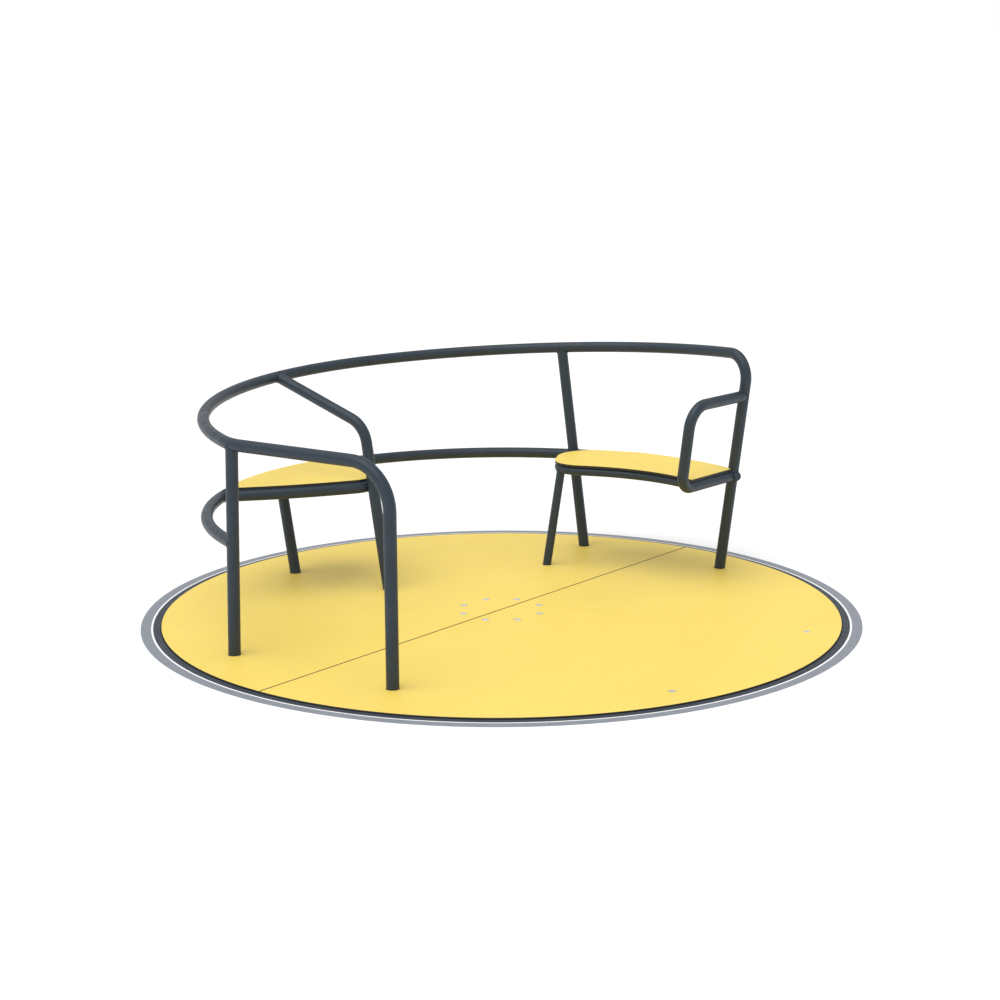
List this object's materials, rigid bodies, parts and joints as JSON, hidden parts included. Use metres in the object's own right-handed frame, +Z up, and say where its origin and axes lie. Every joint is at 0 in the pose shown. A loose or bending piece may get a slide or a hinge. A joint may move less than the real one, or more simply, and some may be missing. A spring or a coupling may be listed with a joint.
{
  "type": "merry go round",
  "caption": "Flush-mounted playground merry-go-round: a round yellow platform turning in a ground ring, with tubular rails, two seats and hand holds.",
  "frame": {"origin": "centre of the base plate underside, on the turning axis, at the level of the foundation", "axes": "+Z up along the turning axis; +X to the right and +Y to the back as the object is shown, with the open side of the rails at the front right"},
  "size_m": [2.5998, 2.5998, 1.1322],
  "materials": {
    "galvanised": "hot-dip galvanised, dull",
    "ring_steel": "light grey coated steel, satin",
    "zinc_hardware": "zinc-plated",
    "seal_pale": "pale flexible seal, matte",
    "machined_steel": "turned steel, satin",
    "bearing_steel": "ground and polished",
    "cage_brass": "satin",
    "primed_steel": "primed steel, satin",
    "seal_rubber": "matte",
    "rim_paint": "dark grey powder coat, satin",
    "deck_yellow": "high-pressure laminate, fine matte texture, dark core",
    "seat_yellow": "high-pressure laminate, satin, dark core edge",
    "stainless_bolts": "stainless, satin",
    "tube_paint": "anthracite powder coat, satin"
  },
  "bodies": {
    "base": {"base_plate": "galvanised", "base_arms": "galvanised", "ground_ring_1": "ring_steel", "ground_ring_2": "ring_steel", "ground_ring_3": "ring_steel", "ground_ring_4": "ring_steel", "ring_joint_bolts": "zinc_hardware", "gap_seal": "seal_pale", "spindle": "machined_steel", "spindle_screws": "zinc_hardware", "lower_inner_race": "bearing_steel", "upper_inner_race": "bearing_steel", "bearing_spacer": "machined_steel", "lock_washer": "zinc_hardware", "spindle_nut": "zinc_hardware"},
    "platform": {"hub_housing": "primed_steel", "lower_outer_race": "bearing_steel", "upper_outer_race": "bearing_steel", "dust_seal": "seal_rubber", "deck_spokes": "galvanised", "rim_ring": "rim_paint", "deck_plate": "galvanised", "deck_board_a": "deck_yellow", "deck_board_b": "deck_yellow", "hub_bolts": "stainless_bolts", "lifting_plugs": "stainless_bolts", "post_bosses": "machined_steel", "post_bolts": "zinc_hardware", "low_rail_right": "tube_paint", "low_rail_left": "tube_paint", "low_rail_end_cap": "tube_paint", "top_rail_back": "tube_paint", "top_rail_side": "tube_paint", "right_post": "tube_paint", "back_post": "tube_paint", "left_post": "tube_paint", "front_handle": "tube_paint", "arm_handle": "tube_paint", "rear_leg": "tube_paint", "seat_leg": "tube_paint", "left_seat_tube": "tube_paint", "right_seat_tube": "tube_paint", "arm_loop": "tube_paint", "left_seat_board": "seat_yellow", "right_seat_board": "seat_yellow", "left_seat_tabs": "tube_paint", "right_seat_tabs": "tube_paint", "left_seat_screws": "zinc_hardware", "right_seat_screws": "zinc_hardware"},
    "lower_ball_set": {"lower_balls": "bearing_steel", "lower_cage": "cage_brass"},
    "upper_ball_set": {"upper_balls": "bearing_steel", "upper_cage": "cage_brass"}
  },
  "joints": [
    {"name": "carousel_spin", "type": "hinge", "parent": "base", "child": "platform", "pos_m": [0, 0, 0.2], "axis": [0, 0, 1], "continuous": true},
    {"name": "lower_cage_spin", "type": "hinge", "parent": "base", "child": "lower_ball_set", "pos_m": [0, 0, 0.063], "axis": [0, 0, 1], "continuous": true},
    {"name": "upper_cage_spin", "type": "hinge", "parent": "base", "child": "upper_ball_set", "pos_m": [0, 0, 0.192], "axis": [0, 0, 1], "continuous": true}
  ],
  "couplings": [
    {"joint": "lower_cage_spin", "follows": "carousel_spin", "ratio": 0.4066},
    {"joint": "upper_cage_spin", "follows": "carousel_spin", "ratio": 0.4093}
  ]
}
